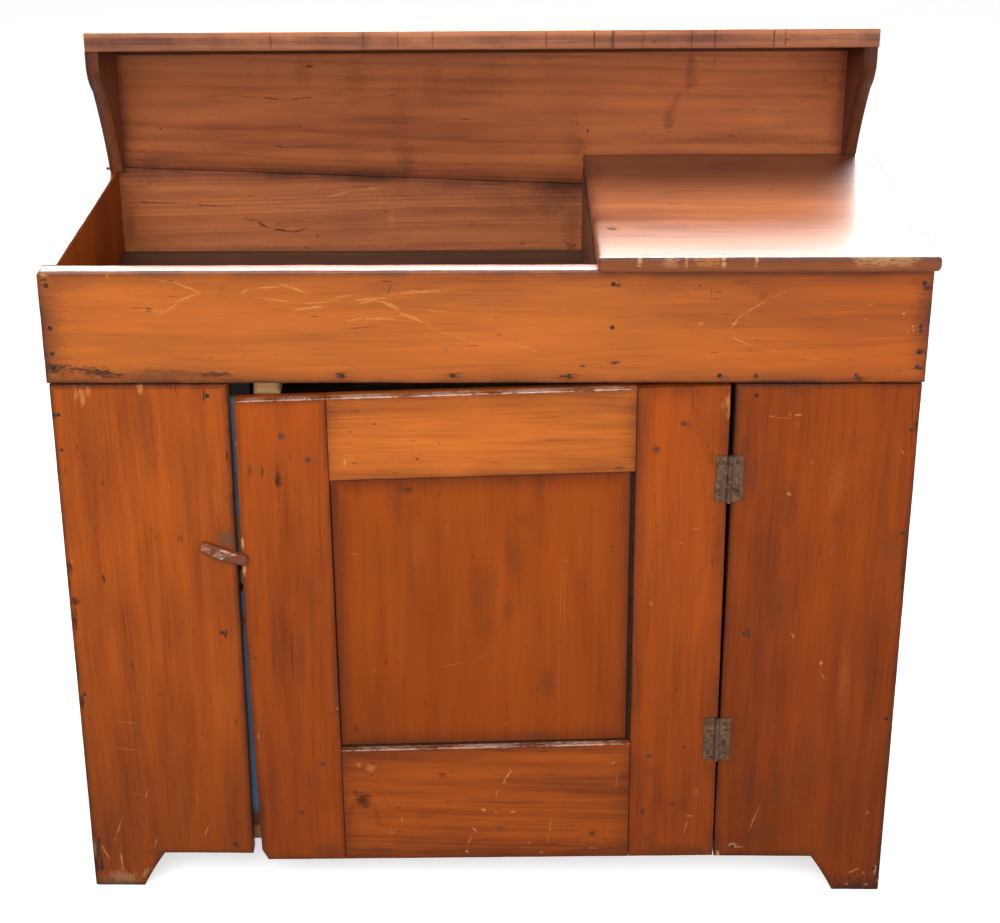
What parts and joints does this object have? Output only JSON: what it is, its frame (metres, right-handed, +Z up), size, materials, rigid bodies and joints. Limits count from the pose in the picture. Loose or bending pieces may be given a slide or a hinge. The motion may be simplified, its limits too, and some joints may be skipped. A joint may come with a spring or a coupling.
{
  "type": "dry sink cabinet",
  "caption": "Nailed pine dry sink with an open tray on top, a fixed work surface over its end, a splash back with a narrow shelf, and a panelled door held by a turn button.",
  "frame": {"origin": "on the floor, under the middle of the overall box", "axes": "+X to the right of someone facing the door, +Y to the rear (the splash back's side), +Z up"},
  "size_m": [1.075, 0.4954, 1.099],
  "materials": {
    "front_pine": "worn varnish, warm orange brown, fine nicks, rubbed arrises",
    "case_pine": "worn varnish, red brown",
    "stile_pine": "worn varnish, red brown, darker at edges and feet",
    "door_pine": "worn varnish, orange brown, dark knots",
    "door_panel_pine": "worn varnish, deep red brown, fleck marks",
    "work_pine": "polished varnish with soft sheen, worn front edge",
    "splash_pine": "worn varnish, brown, cracks and smudges",
    "sink_pine": "dark worn varnish with dust in the corners",
    "rough_pine": "sawn, unpainted, aged",
    "bare_pine": "unpainted, dry",
    "old_blue_paint": "old blue paint, chipped and grimy",
    "peg_wood": "end grain, dark",
    "button_wood": "whittled, dark red brown, facets rubbed to orange",
    "aged_brass": "dull, browned",
    "brass_screw": "dull, dirty slots",
    "pin_steel": "dark, slightly rusty",
    "screw_steel": "dull greenish grey, worn",
    "nail_iron": "dark, rusted flush head"
  },
  "bodies": {
    "case": {"side_left": "case_pine", "side_right": "case_pine", "front_stile_left": "stile_pine", "front_stile_right": "stile_pine", "sink_front_board": "front_pine", "case_back_boards": "rough_pine", "case_floor_boards": "rough_pine", "sink_floor_boards": "sink_pine", "sink_floor_cleats": "rough_pine", "sink_partition": "sink_pine", "work_surface": "work_pine", "gallery_shelf": "work_pine", "splash_board_upper": "splash_pine", "splash_board_lower": "splash_pine", "shelf_bracket_left": "splash_pine", "shelf_bracket_right": "splash_pine", "door_stop_strip": "old_blue_paint", "lock_keeper": "bare_pine", "hinge_side_strip": "rough_pine", "door_stop_block": "bare_pine", "hinge_upper_case_leaf": "aged_brass", "hinge_lower_case_leaf": "aged_brass", "hinge_pins": "pin_steel", "hinge_screws_case": "brass_screw", "turn_button_screw": "screw_steel", "front_board_nails": "nail_iron", "stile_nails": "nail_iron", "sink_floor_nails": "nail_iron", "work_surface_nails": "nail_iron", "shelf_nails": "nail_iron", "back_nails": "nail_iron", "floor_nails": "nail_iron"},
    "door": {"door_stile_lock": "door_pine", "door_stile_hinge": "door_pine", "door_rail_top": "door_pine", "door_rail_bottom": "door_pine", "door_panel": "door_panel_pine", "door_pegs": "peg_wood", "hinge_upper_door_leaf": "aged_brass", "hinge_lower_door_leaf": "aged_brass", "hinge_screws_door": "brass_screw"},
    "turn_button": {"turn_button": "button_wood"}
  },
  "joints": [
    {"name": "door_hinge", "type": "hinge", "parent": "case", "child": "door", "pos_m": [0.302, -0.23305, 0.4235], "axis": [0, 0, 1], "range_deg": [0, 170]},
    {"name": "button_turn", "type": "hinge", "parent": "case", "child": "turn_button", "pos_m": [-0.3335, -0.23015, 0.508], "axis": [0, 1, 0], "continuous": true}
  ]
}
